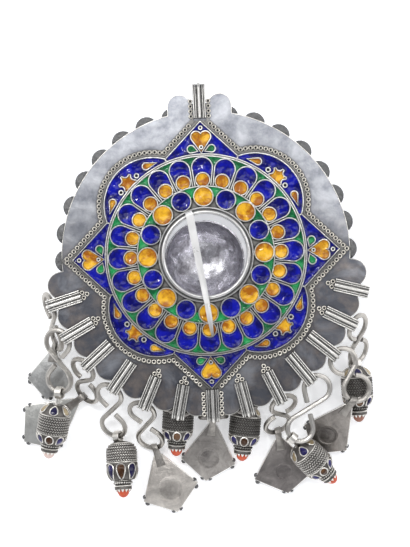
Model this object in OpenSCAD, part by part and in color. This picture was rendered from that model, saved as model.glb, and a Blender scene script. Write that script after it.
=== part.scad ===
// Large round annular brooch worn on the chest: an enamelled star plaque on a silver
// disc, a swinging pin, ribbed bails and a fringe of hooked pendants.
// It lies face down, back uppermost. +Z is up, +Y points to the top bail, and the
// origin is on the surface it lies on, under the centre of the pin ring.

/* [Back plate] */
// Radius of the round upper rim
rim_r = 72; // [68:0.5:74]
// Reach of the rounded lobes round the lower half
lobe_reach = 80.7; // [79:0.1:81]
// Half width of one lobe
lobe_half_w = 6.6; // [6:0.1:6.8]
// Thickness of the plate
plate_t = 1.2; // [1:0.1:1.5]
// Height of the plate's front face above the surface it lies on
plate_z = 21.5; // [21:0.5:24]
// Radius of the domes round the front of the rim
dome_r = 5.6; // [4:0.1:5.6]

/* [Star plaque] */
// Half diagonal of the square whose corners are the four points
star_point_r = 66.5; // [66:0.5:67]
// Radius of the round lobes between the points
star_lobe_r = 24; // [23:0.5:24.5]
// Distance of the lobe centres from the middle
star_lobe_at = 36.2; // [35.5:0.1:36.5]
// Width of the flat border outside the star's wire
border_w = 4.1; // [3.6:0.1:4.1]
// Height of the partition wires above the plate's back
wire_top = 2.5; // [2:0.1:3]
// Width of the partition wires
wire_w = 0.6; // [0.5:0.1:0.8]

/* [Enamel cells] */
// Radius of a round cell of the inner ring
round_r = 4.85; // [4.75:0.05:4.85]
// Radius on which the round cells lie
round_at = 29.1; // [29.1:0.05:29.2]
// Radius of a petal's round end
petal_r = 5.2; // [5.15:0.05:5.25]
// Radius of the small circle at a petal's foot
petal_dot_r = 3.6; // [3.5:0.05:3.7]

/* [Ring and pin] */
// Mean radius of the pin ring's wire
ring_r = 21.3; // [21:0.1:21.5]
// Radius of that wire
ring_wire_r = 1; // [0.9:0.05:1]
// Length of the pin's head along the ring
pin_head_w = 3.6; // [3:0.1:4.5]
// Reach of the pin's tip past the middle
pin_reach = 40.4; // [38:0.2:42]
// Outer radius of the centre boss
boss_r = 20.1; // [20:0.1:20.3]

/* [Bails and hooks] */
// Width of the ribbed bails
bail_w = 6.4; // [6:0.1:6.6]
// Radius at which the fringe bails are folded
bail_fold_r = 81.1; // [81:0.1:81.5]
// Inner radius of a bail's folded eye
eye_r = 1.9; // [1.8:0.05:2]
// Radius of the hook wire
hook_wire_r = 1.3; // [1.2:0.05:1.35]
// Mean radius of the two loops of a hook
hook_r = 6.5; // [6.3:0.1:6.6]

/* [Pendants] */
// Radius of a bead drop at its widest
bead_r = 8.2; // [8:0.1:8.3]
// Thickness of the kite plates
kite_t = 1.2; // [1:0.1:1.3]
// Radius of the domes at a kite's corners
kite_stud_r = 1.5; // [1.2:0.1:1.5]

/* [Hidden] */
$fn = 64;
fine = 128;

silver = [0.62, 0.62, 0.6];
dark_silver = [0.4, 0.41, 0.43];
pin_silver = [0.75, 0.75, 0.74];
blue = [0.06, 0.08, 0.6];
green = [0.04, 0.35, 0.12];
amber = [0.85, 0.5, 0.08];
coral_red = [0.85, 0.25, 0.15];

// A radius beyond every outline, and the lap where two solids of one piece join
far_r = 100;
lap = 0.1;

// Plate: top face, angle between lobes and between bails, lobes, rim domes, ears
back_z = plate_z + plate_t;
pitch = 12.4;
lobe_count = 14;
lobe_from = 60;
dome_count = 17;
dome_pitch = 11.25;
dome_at = 70;
dome_lap = 0.3;
ear_x = 10.15;
ear_y = 74.6;
ear_r = 5.8;

// Star plaque: tray under the enamel, raised step outside the star's wire
tray_t = 0.6;
step_t = 1.2;
step_w = 1.6;
slot_from = 67;
wire_half = wire_w / 2;
wall_base = back_z + tray_t;
enamel_drop = 0.3;
enamel_h = wire_top - tray_t - enamel_drop;
cell_gap = 0.1;
cell_in = -wire_half - cell_gap;
cell_out = wire_half + cell_gap;

// Circles of the plaque, and the corners where the star's square meets its lobes
collar_r = 23.8;
mid_wire_r = 34.2;
big_wire_r = 49.7;
big_wire_half = 0.8;
valley_a = 20.5;
valley_r = 52;
round_count = 16;
petal_count = 24;
petal_at = 43.55;
petal_foot_r = 33.5;
petal_foot_half_w = 3.8;
petal_dot_at = 37.4;

// Cells in a point: heart, two drops; in a lobe: flower, two drops at the ends;
// their straight flanks start a little inside their round ends
flank_in = 0.05;
heart_lobe_r = 2.75;
heart_side = 2.3;
heart_at = 58.9;
heart_point_r = 50.7;
side_drop_at = [52.8, 5.1];
side_drop_a = -110;
side_drop = [1.9, 3.6];
flower_at = 52.8;
flower_r = 4.4;
scallop_r = 1.8;
scallop_at = 4.75;
end_drop_at = [51.8, 12.2];
end_drop_a = 119;
end_drop = [1.75, 5.7];

// Ring standing on its collar, with a gap in the web for the pin's head
ring_hole_r = 20.5;
ring_z = 25.4;
collar_t = 0.8;
collar_wall = 0.6;
web_t = 0.8;
web_gap_a = 14;

// Pin: place of its head on the ring, way it points, flat bar, round tapering tip
pin_a = 110;
pin_run_a = -81.3;
head_bore = ring_wire_r + 0.2;
head_r = 1.75;
rest_gap = 0.1;
bar_t = 1;
bar_w = 4;
bar_neck_w = 2.8;
bar_lead = 0.3;
bar_past = 2.6;
tip_lap = 0.6;
tip_turn = 1.5;
tip_dip = 4;
tip_r = 0.95;
point_r = 0.35;

// Centre boss: a shell standing on the surface, its flange against the plate
boss_t = 0.8;
boss_at = [-0.8, -2.6];
boss_cut = 0.5;
boss_flange_a = 65;

// Ribbed bails
band_t = 0.7;
thin_rib_r = 0.4;
thin_rib_at = [1.8, 2.75];
mid_rib_r = 0.9;
eye_z = back_z - eye_r;
fold_back = 20;
top_eye_y = 83.1;
top_bail_start = 68.5;

// Bails: number of steps from the bottom one, inner end
bail_table = [
    [-6, 66], [-5, 66], [-4, 65.2], [-3, 65.2], [-2, 66], [-1, 66], [0, 67.4],
    [1, 66], [2, 66], [3, 65.2], [4, 65.2], [5, 66], [6, 66]
];

// Hooks: where the wire lies in a bail's eye, gap at a stub's end, fineness
wire_back = 0.42;
stub_gap = 0.4;
arc_steps = 14;
hook_sides = 8;

// Hooks: number, step of the bail, dip and turn from the bail's eye, distance
// between the loop centres, mirrored or not; the links have no second loop
hook_table = [
    [1, -6, 66, 71, 17, 0],
    [2, -5, 22, 58, 19.5, 1],
    [3, -4, 49, 40, 15, 0],
    [4, -3, 36, 33, 19.5, 0],
    [5, -2, 40, 29, 19, 0],
    [6, -1, 150, 0, 0, 0],
    [7, 0, 80, 0, 0, 0],
    [8, 1, 150, 0, 0, 0],
    [9, 2, 46.5, -30, 14.5, 1],
    [10, 3, 4, -62, 22, 0],
    [11, 4, 5, -25, 15.5, 0],
    [12, 5, 50, -45, 15.5, 0]
];
col_step = 1;
col_dip = 2;
col_turn = 3;
col_span = 4;
col_mirror = 5;

// Kite plates: number, place round the hook's loop, heading, dip, roll, reach from
// the strap's eye to the far corner, half width
kite_table = [
    [1, -45, -102, 2.6, 9, 29.5, 12.2],
    [3, -38, -145, 1.3, 0, 38, 14.6],
    [5, 10, -73.1, 1.5, 0, 35.3, 15.1],
    [7, 0, -99, 10, 0, 34.4, 14.4],
    [9, -15, -83, 2, 0, 32.5, 16.4],
    [11, -45, -124, 25.2, 0, 38, 13]
];
col_place = 1;
col_heading = 2;
col_kite_dip = 3;
col_roll = 4;
col_reach = 5;
col_half_w = 6;

// Bead drops: number, place round the hook's loop, top of the body, heading, dip
bead_table = [
    [2, 0, [-79.4, -72.4, 13.2], -102.1, 4],
    [4, 15, [-48.2, -93.7, 6.9], -88.5, -12],
    [6, 0, [-17.2, -74, 8.6], -95.7, 0],
    [8, 0, [17.4, -78.2, 8.6], -97.9, 0],
    [10, -20, [42.2, -98.5, 13.6], -47.6, 9],
    [12, -30, [74.2, -60.7, 8.4], -88.8, 0]
];
col_top = 2;
col_bead_heading = 3;
col_bead_dip = 4;

// Straps: the round eye, its height off the ground when tilted, the grip on a plate
strap_r = 2.4;
strap_t = 0.8;
strap_w = 3.4;
strap_outer_r = strap_r + strap_t;
eye_lead = 0.4;
eye_lift = 0.43;
grip_x = 5.6;
tail_from = 4.2;
strap_tail = 9.5;
strap_flare = 5;

// Kite plates: narrow top, side corners, studs under the short edges, face boss
kite_apex = 3.2;
kite_neck_w = 4.4;
kite_side_at = 0.68;
stud_along = 1.6;
stud_across = 1.8;
kite_boss_r = 6;
kite_boss_tip_r = 4;
kite_boss_h = 1.1;
kite_boss_back = 1.6;

// Bead drops: distances down the body, wire rows, neck ring, bezel, coral
neck_r = 1.3;
bead_top_r = 1.4;
band_from = 5.5;
band_to = 14.5;
cone_to = 20;
neck_to = 22;
bezel_to = 24.4;
tip_to = 28.5;
row_count = 7;
row_pitch = 1.3;
row_r = 0.6;
skin_r = bead_r - 0.5;
foot_r = 4;
neck_ring_at = 4.2;
neck_ring_r = 1;
bezel_r = 4.4;
bezel_from = 22.3;
coral_r = 3.2;

// Turns a vector about Y, then about Z
function about_y(a, v) = [v[0] * cos(a) + v[2] * sin(a), v[1], -v[0] * sin(a) + v[2] * cos(a)];
function about_z(a, v) = [v[0] * cos(a) - v[1] * sin(a), v[0] * sin(a) + v[1] * cos(a), v[2]];
function unit(v) = v / norm(v);
function two_digits(n) = n < 10 ? str("0", n) : str(n);
function row_of(table, n) = table[search(n, table)[0]];
function step_angle(k) = -90 + pitch * k;
function heading(az, dip) = [cos(az) * cos(dip), sin(az) * cos(dip), -sin(dip)];

// From a hook's own frame, first loop at the origin and second along +X, to the part
function hook_place(row, v) = let(
    flip = row[col_mirror] == 1 ? [v[0], -v[1], v[2]] : v,
    turned = about_z(row[col_turn], flip) + [hook_r - wire_back, 0, 0]
) about_z(step_angle(row[col_step]), about_y(row[col_dip], turned) + [bail_fold_r, 0, eye_z]);

// A point on a hook's second loop, or a link's only one, q degrees round from its far end
function seat_point(row, q) =
    hook_place(row, [row[col_span] + hook_r * cos(q), hook_r * sin(q), 0]);
function seat_tangent(row, q) = unit(seat_point(row, q + 1) - seat_point(row, q - 1));

// Centre of a pendant's eye round the wire at seat, drawn towards dir and off the ground
function eye_at(seat, dir) = let(c = seat + eye_lead * dir)
    [c[0], c[1], max(c[2], strap_outer_r + eye_lift)];

// Centre line of a hook: a stub, the first loop, the crossing, the second loop, a stub
function hook_line(c) = let(
    a = acos(2 * hook_r / c),
    run = sqrt(c * c / 4 - hook_r * hook_r),
    stub = run - 2 * hook_wire_r - stub_gap,
    sweep = 360 - 2 * a,
    first = [for (i = [0:arc_steps]) let(q = -a - sweep * i / arc_steps) hook_r * [cos(q), sin(q)]],
    start = first[0] + stub * [sin(a), cos(a)],
    half = concat([start], first)
) concat(half, [[c / 2, 0]], [for (i = [len(half) - 1:-1:0]) [c, 0] - half[i]]);

module spin_copies(n, step, first = 0) {
    for (i = [0:n - 1]) rotate([0, 0, first + i * step]) children();
}

module along(v) rotate([0, acos(v[2] / norm(v)), atan2(v[1], v[0])]) children();

module band(r_in, r_out) {
    difference() {
        circle(r_out, $fn = fine);
        circle(r_in, $fn = fine);
    }
}

// A round end drawn out to a point at distance l along +X
module drop_shape(r, l) {
    a = acos(r / l);
    circle(r);
    flank = (r - flank_in) * [cos(a), sin(a)];
    polygon([[l, 0], flank, [0, 0], [flank[0], -flank[1]]]);
}

module star_shape(d) {
    side = (star_point_r + d * sqrt(2)) * sqrt(2);
    rotate(45) square(side, center = true);
    for (a = [45:90:315]) rotate(a) translate([star_lobe_at, 0]) circle(star_lobe_r + d);
}

// Arched petal along +X: round outer end, legs drawn in towards the middle
module petal_shape(d) {
    foot = [petal_foot_r - d, petal_foot_half_w + d];
    translate([petal_at, 0]) circle(petal_r + d);
    polygon([foot, [petal_at, petal_r + d], [petal_at, -petal_r - d], [foot[0], -foot[1]]]);
}

// Heart along +X, its point towards the middle
module heart_shape(d) {
    run = heart_at - heart_point_r + d;
    r = heart_lobe_r + d;
    a = 180 + atan2(heart_side, run) - acos(r / norm([run, heart_side]));
    flank = [heart_at, heart_side] + (r - flank_in) * [cos(a), sin(a)];
    for (s = [-1, 1]) translate([heart_at, s * heart_side]) circle(r);
    polygon([
        [heart_at - run, 0], flank, [heart_at, heart_side],
        [heart_at, -heart_side], [flank[0], -flank[1]]
    ]);
}

// Green drops beside the heart's point
module side_drops(d) {
    for (s = [-1, 1])
        translate([side_drop_at[0], s * side_drop_at[1]]) rotate(s * side_drop_a)
            drop_shape(side_drop[0] + d, side_drop[1] + 2 * d);
}

// Flower growing out of the big circle in a round lobe, scalloped between its tips
module flower_shape(d) {
    translate([flower_at, 0]) difference() {
        circle(flower_r + d);
        for (a = [30, 90, 270, 330]) rotate(a) translate([scallop_at, 0]) circle(scallop_r - d);
    }
}

// Amber drops at the two ends of a round lobe
module end_drops(d) {
    for (s = [-1, 1])
        translate([end_drop_at[0], s * end_drop_at[1]]) rotate(s * end_drop_a)
            drop_shape(end_drop[0] + d, end_drop[1] + 2 * d);
}

// Short wires from the big circle to the star's inner corners
module valley_wires(a, d) {
    for (s = [-1, 1])
        rotate(s * a) translate([big_wire_r, -wire_half - d])
            square([valley_r - big_wire_r + d, wire_w + 2 * d]);
}

module wedge(a) {
    polygon([[0, 0], [far_r, -far_r * tan(a)], [far_r, far_r * tan(a)]]);
}

module outline_plate() {
    circle(rim_r, $fn = fine);
    for (i = [0:lobe_count - 1])
        rotate(step_angle(i - (lobe_count - 1) / 2)) {
            translate([lobe_from, -lobe_half_w])
                square([lobe_reach - lobe_half_w - lobe_from, 2 * lobe_half_w]);
            translate([lobe_reach - lobe_half_w, 0]) circle(lobe_half_w);
        }
    for (s = [-1, 1]) {
        translate([s * ear_x, ear_y]) circle(ear_r);
        translate([s * ear_x - ear_r, lobe_from]) square([2 * ear_r, ear_y - lobe_from]);
    }
    translate([-ear_x, lobe_from]) square([2 * ear_x, ear_y + 1 - lobe_from]);
}

module back_plate() color(dark_silver) {
    translate([0, 0, plate_z]) linear_extrude(plate_t) difference() {
        outline_plate();
        circle(ring_hole_r, $fn = fine);
    }
    spin_copies(dome_count, dome_pitch, 90 - dome_pitch * (dome_count - 1) / 2)
        translate([dome_at, 0, plate_z]) difference() {
            sphere(dome_r);
            translate([-dome_r - 1, -dome_r - 1, dome_lap]) cube(2 * dome_r + 2);
        }
}

module cell_walls() {
    difference() {
        star_shape(wire_half);
        star_shape(-wire_half);
    }
    band(mid_wire_r - wire_half, mid_wire_r + wire_half);
    band(big_wire_r - big_wire_half, big_wire_r + big_wire_half);
    spin_copies(round_count, 360 / round_count)
        translate([round_at, 0]) band(round_r - wire_half, round_r + wire_half);
    spin_copies(petal_count, 360 / petal_count) {
        difference() {
            petal_shape(wire_half);
            petal_shape(-wire_half);
            circle(mid_wire_r, $fn = fine);
        }
        translate([petal_dot_at, 0]) difference() {
            band(petal_dot_r - wire_half, petal_dot_r + wire_half);
            translate([-petal_dot_at, 0]) circle(mid_wire_r, $fn = fine);
        }
    }
    spin_copies(4, 90) {
        difference() {
            heart_shape(wire_half);
            heart_shape(-wire_half);
        }
        difference() {
            side_drops(wire_half);
            side_drops(-wire_half);
        }
        valley_wires(valley_a, 0);
    }
    spin_copies(4, 90, 45) {
        difference() {
            flower_shape(wire_half);
            flower_shape(-wire_half);
            circle(big_wire_r, $fn = fine);
        }
        difference() {
            end_drops(wire_half);
            end_drops(-wire_half);
        }
    }
}

// Room for the bails that run in over the border, at the top and the bottom
module bail_slots() {
    for (a = [90, -90])
        rotate(a) translate([slot_from, -bail_w / 2 - cell_gap])
            square([far_r - slot_from, bail_w + 2 * cell_gap]);
}

module star_frame() color(silver) {
    translate([0, 0, back_z]) linear_extrude(tray_t) difference() {
        star_shape(border_w);
        circle(collar_r + cell_gap, $fn = fine);
        bail_slots();
    }
    translate([0, 0, back_z]) linear_extrude(step_t) difference() {
        star_shape(step_w);
        star_shape(0);
        bail_slots();
    }
    translate([0, 0, wall_base]) linear_extrude(wire_top - tray_t) difference() {
        cell_walls();
        circle(collar_r + cell_gap, $fn = fine);
    }
}

module enamel() {
    translate([0, 0, wall_base]) linear_extrude(enamel_h) children();
}

module round_cells(first) {
    spin_copies(round_count / 2, 720 / round_count, first)
        enamel() translate([round_at, 0]) circle(round_r + cell_in);
}

module enamel_blue() color(blue) {
    round_cells(90 + 360 / round_count);
    spin_copies(petal_count, 360 / petal_count) enamel() difference() {
        petal_shape(cell_in);
        translate([petal_dot_at, 0]) circle(petal_dot_r + cell_out);
        translate([0, -petal_r]) square([petal_dot_at, 2 * petal_r]);
    }
    spin_copies(4, 90) enamel() difference() {
        intersection() {
            star_shape(cell_in);
            wedge(valley_a);
        }
        circle(big_wire_r + big_wire_half + cell_gap, $fn = fine);
        heart_shape(cell_out);
        side_drops(cell_out);
        valley_wires(valley_a, cell_gap);
    }
    spin_copies(4, 90, 45) enamel() difference() {
        intersection() {
            rotate(45) star_shape(cell_in);
            wedge(45 - valley_a);
        }
        circle(big_wire_r + big_wire_half + cell_gap, $fn = fine);
        flower_shape(cell_out);
        end_drops(cell_out);
        valley_wires(45 - valley_a, cell_gap);
    }
}

module enamel_green() color(green) {
    enamel() difference() {
        band(collar_r + 2 * cell_gap + wire_half, mid_wire_r + cell_in);
        spin_copies(round_count, 360 / round_count) translate([round_at, 0]) circle(round_r + cell_out);
        circle(round_at, $fn = fine);
    }
    enamel() difference() {
        band(petal_at, big_wire_r - big_wire_half - cell_gap);
        spin_copies(petal_count, 360 / petal_count) petal_shape(cell_out);
    }
    spin_copies(4, 90) enamel() side_drops(cell_in);
}

module enamel_amber() color(amber) {
    round_cells(90);
    spin_copies(petal_count, 360 / petal_count) enamel() difference() {
        translate([petal_dot_at, 0]) circle(petal_dot_r + cell_in);
        circle(mid_wire_r + cell_out, $fn = fine);
    }
    spin_copies(4, 90) enamel() heart_shape(cell_in);
    spin_copies(4, 90, 45) enamel() {
        difference() {
            flower_shape(cell_in);
            circle(big_wire_r + big_wire_half + cell_gap, $fn = fine);
        }
        end_drops(cell_in);
    }
}

module pin_ring() color(silver) {
    translate([0, 0, ring_z]) rotate_extrude($fn = fine)
        translate([ring_r, 0]) circle(ring_wire_r, $fn = 32);
    translate([0, 0, back_z]) linear_extrude(collar_t) band(ring_hole_r, collar_r);
    translate([0, 0, back_z]) linear_extrude(wire_top) band(collar_r - collar_wall, collar_r);
    web_z = back_z + collar_t / 2;
    rotate([0, 0, pin_a + web_gap_a]) rotate_extrude(angle = 360 - 2 * web_gap_a, $fn = fine)
        translate([ring_r - web_t / 2, web_z]) square([web_t, ring_z - web_z]);
}

module pin() color(pin_silver) {
    head = about_z(pin_a, [ring_r, 0, 0]);
    run = heading(pin_run_a, 0);
    bar_z = ring_z + ring_wire_r + rest_gap;
    bar_len = 2 * ring_r + bar_past;
    tip_from = [head[0], head[1], bar_z + bar_t / 2] + (bar_len - tip_lap) * run;
    difference() {
        union() {
            translate([head[0], head[1], ring_z]) rotate([0, 0, pin_a]) rotate([90, 0, 0])
                cylinder(r = head_r, h = pin_head_w, center = true);
            translate([head[0], head[1], bar_z]) rotate([0, 0, pin_run_a]) linear_extrude(bar_t) polygon([
                [-bar_lead, -bar_w / 2], [bar_len, -bar_neck_w / 2],
                [bar_len, bar_neck_w / 2], [-bar_lead, bar_w / 2]
            ]);
        }
        translate([head[0], head[1], ring_z]) rotate([0, 0, pin_a]) rotate([90, 0, 0])
            cylinder(r = head_bore, h = 2 * pin_head_w, center = true);
    }
    translate(tip_from) rotate([0, 90 + tip_dip, pin_run_a - tip_turn])
        cylinder(r1 = tip_r, r2 = point_r, h = pin_reach + ring_r + tip_lap - bar_len);
}

module centre_boss() color(dark_silver) translate([boss_at[0], boss_at[1], boss_r]) {
    difference() {
        sphere(boss_r, $fn = 96);
        sphere(boss_r - boss_t, $fn = 96);
        translate([-boss_r - 1, -boss_r - 1, -boss_cut]) cube(2 * boss_r + 2);
    }
    flange_z = -boss_cut - lap;
    rotate([0, 0, atan2(boss_at[1], boss_at[0]) - boss_flange_a])
        rotate_extrude(angle = 2 * boss_flange_a, $fn = 96)
            translate([boss_r - boss_t, flange_z]) square([boss_t, plate_z - boss_r - flange_z]);
}

// Ribbed band in section: X is height above its inner face, Y runs across
module band_profile() {
    translate([0, -bail_w / 2]) square([band_t, bail_w]);
    intersection() {
        union() {
            for (s = [-1, 1]) for (y = thin_rib_at)
                translate([band_t, s * y]) circle(thin_rib_r, $fn = 24);
            translate([band_t, 0]) circle(mid_rib_r, $fn = 32);
        }
        translate([0, -bail_w / 2]) square([band_t + mid_rib_r, bail_w]);
    }
}

// Flat part of a bail along +X, on the plate's back
module bail_strip(from_x, to_x) {
    translate([from_x, 0, back_z]) rotate([0, 90, 0]) rotate([0, 0, 180])
        linear_extrude(to_x - from_x) band_profile();
}

module bail(from_x) {
    bail_strip(from_x, bail_fold_r);
    translate([bail_fold_r, 0, eye_z]) rotate([90, 0, 0])
        rotate_extrude(angle = 180 + fold_back, start = -90 - fold_back, $fn = 48)
            translate([eye_r, 0]) band_profile();
    leg_x = bail_fold_r - sin(fold_back) * eye_r;
    leg_z = eye_z - cos(fold_back) * eye_r;
    under_x = bail_fold_r - sin(fold_back) * (eye_r + band_t);
    under_z = eye_z - cos(fold_back) * (eye_r + band_t);
    translate([0, bail_w / 2, 0]) rotate([90, 0, 0]) linear_extrude(bail_w) polygon([
        [leg_x, leg_z], [under_x, under_z],
        [under_x - (plate_z - under_z) / tan(fold_back), plate_z],
        [leg_x - (plate_z - leg_z) / tan(fold_back), plate_z]
    ]);
}

module fringe_bail(row) color(silver) rotate([0, 0, step_angle(row[0])]) bail(row[1]);

module top_bail() color(silver) rotate([0, 0, 90]) {
    bail_strip(top_bail_start, top_eye_y);
    translate([top_eye_y, 0, eye_z]) rotate([90, 0, 0])
        rotate_extrude() translate([eye_r, 0]) band_profile();
}

// Tube of hook_sides sides along pts, which lie in the plane across up
module tube(pts, up, r) {
    n = len(pts);
    rings = [for (i = [0:n - 1]) let(
        t = unit(pts[min(i + 1, n - 1)] - pts[max(i - 1, 0)]),
        s = unit(cross(up, t))
    ) for (j = [0:hook_sides - 1]) let(q = 360 * (j + 0.5) / hook_sides)
        pts[i] + r * (cos(q) * s + sin(q) * up)];
    walls = [for (i = [0:n - 2]) for (j = [0:hook_sides - 1]) let(k = (j + 1) % hook_sides)
        [i * hook_sides + j, (i + 1) * hook_sides + j, (i + 1) * hook_sides + k, i * hook_sides + k]];
    polyhedron(rings, concat(
        walls, [[for (j = [0:hook_sides - 1]) j]],
        [[for (j = [hook_sides - 1:-1:0]) (n - 1) * hook_sides + j]]
    ));
}

module hook(number) color(silver) {
    row = row_of(hook_table, number);
    up = hook_place(row, [0, 0, 1]) - hook_place(row, [0, 0, 0]);
    tube([for (p = hook_line(row[col_span])) hook_place(row, [p[0], p[1], 0])], up, hook_wire_r);
}

// Plain ring through a bail's eye
module link(number) color(dark_silver) {
    row = row_of(hook_table, number);
    rotate([0, 0, step_angle(row[col_step])]) translate([bail_fold_r, 0, eye_z])
        rotate([0, row[col_dip], 0]) translate([hook_r - wire_back, 0, 0])
            rotate_extrude() translate([hook_r, 0]) circle(hook_wire_r, $fn = 24);
}

module eye_bar(centre, tangent, r, h) {
    translate(centre) along(tangent) cylinder(r = r, h = h, center = true, $fn = 48);
}

// Kite plate along +X from its strap's eye at the origin
module kite_plate(reach, half_w) {
    side_x = kite_side_at * reach;
    studs = [
        [reach - stud_along, stud_across],
        [side_x - stud_across, half_w - stud_along],
        [side_x + stud_along, half_w - stud_across]
    ];
    translate([0, 0, -kite_t / 2]) linear_extrude(kite_t) polygon([
        [kite_apex, -kite_neck_w / 2], [side_x, -half_w], [reach, 0],
        [side_x, half_w], [kite_apex, kite_neck_w / 2]
    ]);
    for (s = [-1, 1]) for (at = studs)
        translate([at[0], s * at[1], -kite_t / 2]) sphere(kite_stud_r, $fn = 24);
    translate([side_x - kite_boss_back, 0, lap - kite_boss_h - kite_t / 2])
        cylinder(r1 = kite_boss_tip_r, r2 = kite_boss_r, h = kite_boss_h, $fn = 48);
}

// Strap from the eye down both faces of the plate
module strap() {
    cheek = kite_t / 2 + strap_t;
    translate([0, strap_w / 2, 0]) rotate([90, 0, 0]) linear_extrude(strap_w) polygon([
        [0, strap_r], [grip_x, cheek], [grip_x, -cheek], [0, -strap_r]
    ]);
    for (side = [-cheek, kite_t / 2])
        translate([0, 0, side]) linear_extrude(strap_t) polygon([
            [tail_from, -strap_w / 2], [strap_tail, -strap_flare / 2],
            [strap_tail, strap_flare / 2], [tail_from, strap_w / 2]
        ]);
}

module kite(number) color(silver) {
    row = row_of(kite_table, number);
    hook_row = row_of(hook_table, number);
    dir = heading(row[col_heading], row[col_kite_dip]);
    eye = eye_at(seat_point(hook_row, row[col_place]), dir);
    tangent = seat_tangent(hook_row, row[col_place]);
    difference() {
        union() {
            translate(eye) rotate([0, row[col_kite_dip], row[col_heading]]) rotate([row[col_roll], 0, 0]) {
                kite_plate(row[col_reach], row[col_half_w]);
                strap();
            }
            eye_bar(eye, tangent, strap_outer_r, strap_w);
        }
        eye_bar(eye, tangent, strap_r, 3 * strap_w);
    }
}

// Bead drop in section, turned about +Z from its top
module bead_section() {
    dome = [for (a = [0:15:90]) [bead_top_r + (skin_r - bead_top_r) * sin(a), band_from * (1 - cos(a))]];
    cone = [for (a = [0:15:90])
        [foot_r + (skin_r - foot_r) * cos(a), band_to + (cone_to - band_to) * sin(a)]];
    polygon(concat([[0, 0]], dome, cone, [[foot_r, bezel_from], [bezel_r, bezel_to], [0, bezel_to]]));
    for (i = [0:row_count - 1])
        translate([bead_r - row_r, band_from + row_r + i * row_pitch]) circle(row_r, $fn = 16);
    translate([neck_ring_at, (cone_to + neck_to) / 2]) circle(neck_ring_r, $fn = 24);
}

module bead(number) color(dark_silver) {
    row = row_of(bead_table, number);
    hook_row = row_of(hook_table, number);
    axis = heading(row[col_bead_heading], row[col_bead_dip]);
    top = row[col_top];
    seat = seat_point(hook_row, row[col_place]);
    eye = eye_at(seat, unit(top - seat));
    toward = unit(top + axis - eye);
    tangent = seat_tangent(hook_row, row[col_place]);
    neck_from = strap_r + strap_t / 3;
    translate(top) along(axis) rotate_extrude() bead_section();
    difference() {
        eye_bar(eye, tangent, strap_outer_r, strap_w);
        eye_bar(eye, tangent, strap_r, 2 * strap_w);
    }
    translate(eye + neck_from * toward) along(toward)
        cylinder(r = neck_r, h = norm(top + axis - eye) - neck_from, $fn = 24);
}

module coral(number) color(coral_red) {
    row = row_of(bead_table, number);
    axis = heading(row[col_bead_heading], row[col_bead_dip]);
    len = tip_to - bezel_to;
    translate(row[col_top] + bezel_to * axis) along(axis) rotate_extrude($fn = 32) polygon(concat(
        [[0, 0]], [for (a = [0:15:75]) [coral_r * cos(a), len * sin(a)]], [[0, len]]
    ));
}

back_plate();
star_frame();
enamel_blue();
enamel_green();
enamel_amber();
pin_ring();
pin();
centre_boss();
top_bail();
for (n = [1:13]) fringe_bail(bail_table[n - 1]);
for (n = [1:5]) hook(n);
for (n = [6:8]) link(n);
for (n = [9:12]) hook(n);
for (n = [1:2:11]) kite(n);
for (n = [2:2:12]) bead(n);
for (n = [2:2:12]) coral(n);
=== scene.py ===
import random
from math import acos, asin, atan2, cos, degrees, exp, hypot, pi, radians, sin, sqrt

import bmesh
import bpy
from mathutils import Matrix, Vector, kdtree, noise


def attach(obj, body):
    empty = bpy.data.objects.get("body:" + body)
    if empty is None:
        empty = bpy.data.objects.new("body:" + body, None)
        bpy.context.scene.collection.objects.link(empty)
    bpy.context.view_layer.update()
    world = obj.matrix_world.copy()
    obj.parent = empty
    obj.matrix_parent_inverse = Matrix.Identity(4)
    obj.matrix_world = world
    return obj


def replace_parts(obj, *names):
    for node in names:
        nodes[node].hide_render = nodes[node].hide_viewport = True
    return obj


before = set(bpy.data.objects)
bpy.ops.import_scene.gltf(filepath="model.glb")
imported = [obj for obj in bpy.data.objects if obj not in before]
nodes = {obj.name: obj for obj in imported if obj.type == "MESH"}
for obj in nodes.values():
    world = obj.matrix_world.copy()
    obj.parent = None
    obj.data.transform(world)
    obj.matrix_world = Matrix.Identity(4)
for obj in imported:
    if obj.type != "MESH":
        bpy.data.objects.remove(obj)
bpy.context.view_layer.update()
random.seed(7)

# everything is worked out in millimetres, face down, and made metres at the end
toMetres = Matrix.Scale(0.001, 4)
toMillimetres = Matrix.Scale(1000, 4)


# camera, light and floor
studio = {
    "cameraOver": (-0.924, -9.318, 542.7),
    "cameraRoll": -2.6,
    "cameraField": 29.48,
    "horizon": (0.95, 0.97, 1.0),
    "zenith": (0.16, 0.165, 0.18),
    "worldStrength": 1.0,
    "lamps": [
        ("lampLeft", (-430, 240, 520), 460, 1.3),
        ("lampRight", (460, 180, 430), 400, 0.9),
        ("lampFront", (60, -560, 420), 460, 0.7),
        ("lampOver", (-60, 350, 690), 420, 1.4),
        ("lampSmall", (-190, 300, 640), 36, 0.6),
        ("lampSpot", (230, 110, 640), 32, 0.35),
    ],
    "floorTone": (0.96, 0.965, 0.975),
    "floorGlow": 0.42,
    "floorHalf": 1500,
}


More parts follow.
